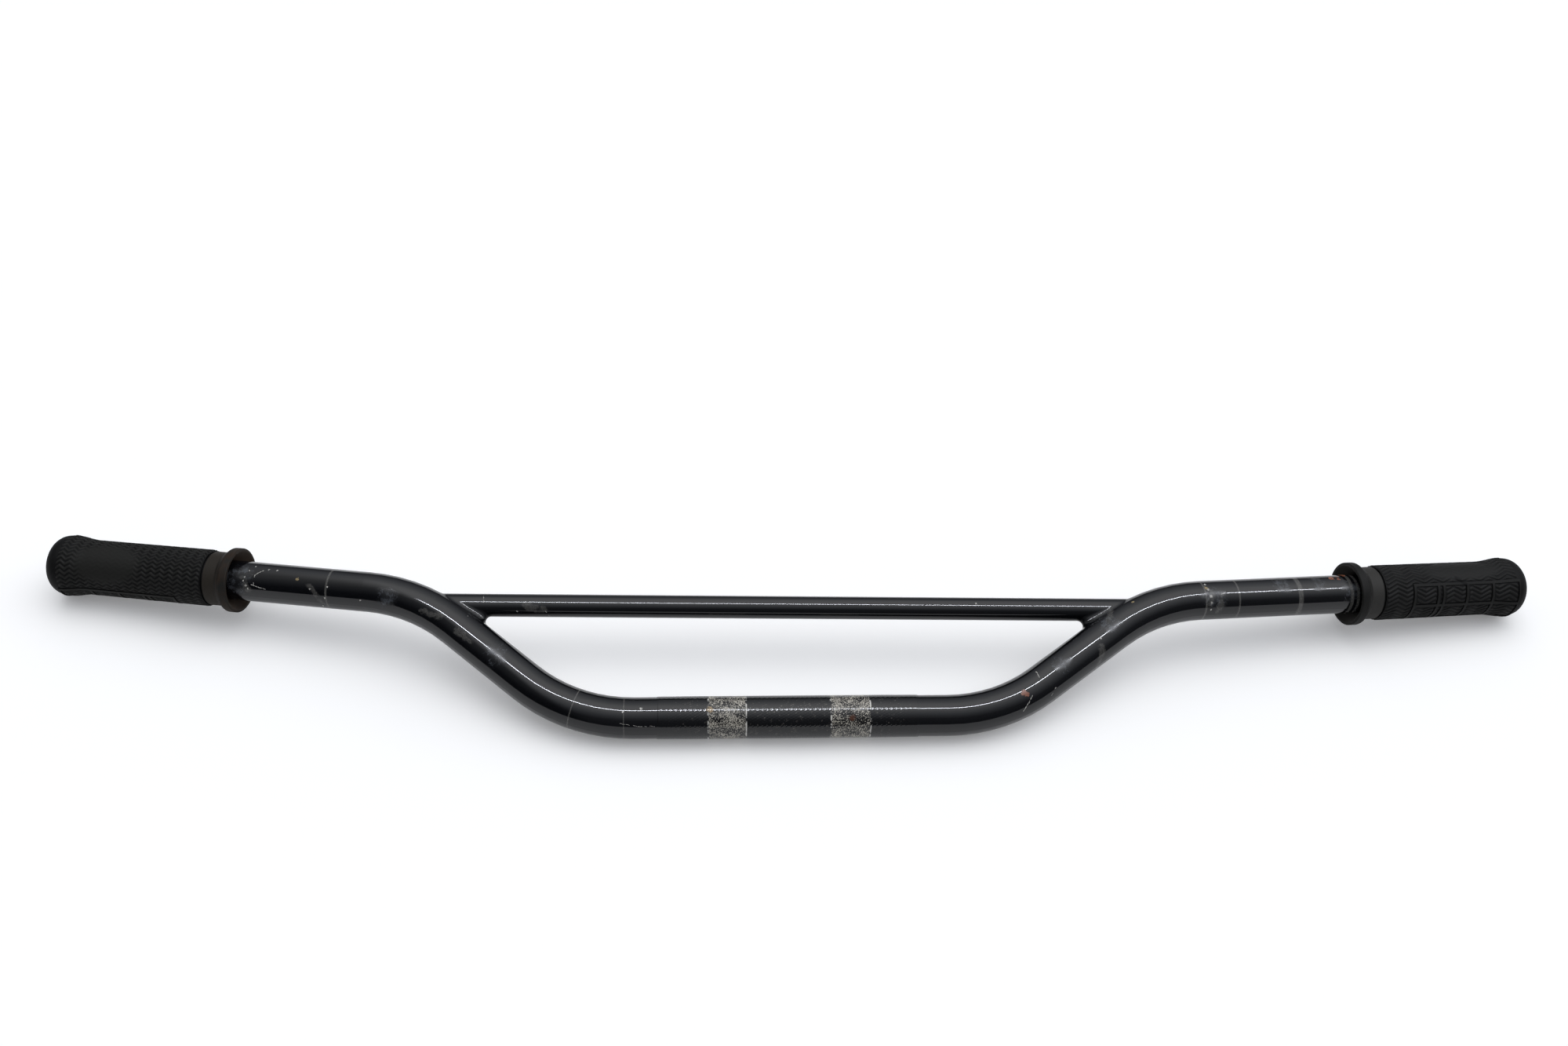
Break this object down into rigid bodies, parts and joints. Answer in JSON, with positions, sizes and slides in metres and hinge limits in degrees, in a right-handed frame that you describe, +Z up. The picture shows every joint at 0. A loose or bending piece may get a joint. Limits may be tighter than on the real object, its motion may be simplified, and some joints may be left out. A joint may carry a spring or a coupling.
{
  "type": "handlebar",
  "caption": "Low bent tubular handlebar for a quad bike, with a knurled clamp zone, a welded crossbar and closed-end rubber grips.",
  "frame": {"origin": "middle of the knurled clamp section's axis", "axes": "+X along the straight clamp section towards the right-hand grip, +Y along the surface it rests on towards the crossbar and the shoulders, +Z up from that surface"},
  "size_m": [0.8517, 0.1378, 0.0437],
  "materials": {
    "tube_enamel": "gloss black baked enamel over bent and welded steel tube, worn to grey metal in the clamp zone",
    "grip_rubber": "moulded charcoal rubber with a zigzag tread and raised finger ribs, worn smooth at the palm"
  },
  "bodies": {
    "root": {"handlebar_tube": "tube_enamel", "crossbar_tube": "tube_enamel", "crossbar_weld_left": "tube_enamel", "crossbar_weld_right": "tube_enamel", "grip_left": "grip_rubber", "grip_right": "grip_rubber"}
  },
  "joints": []
}
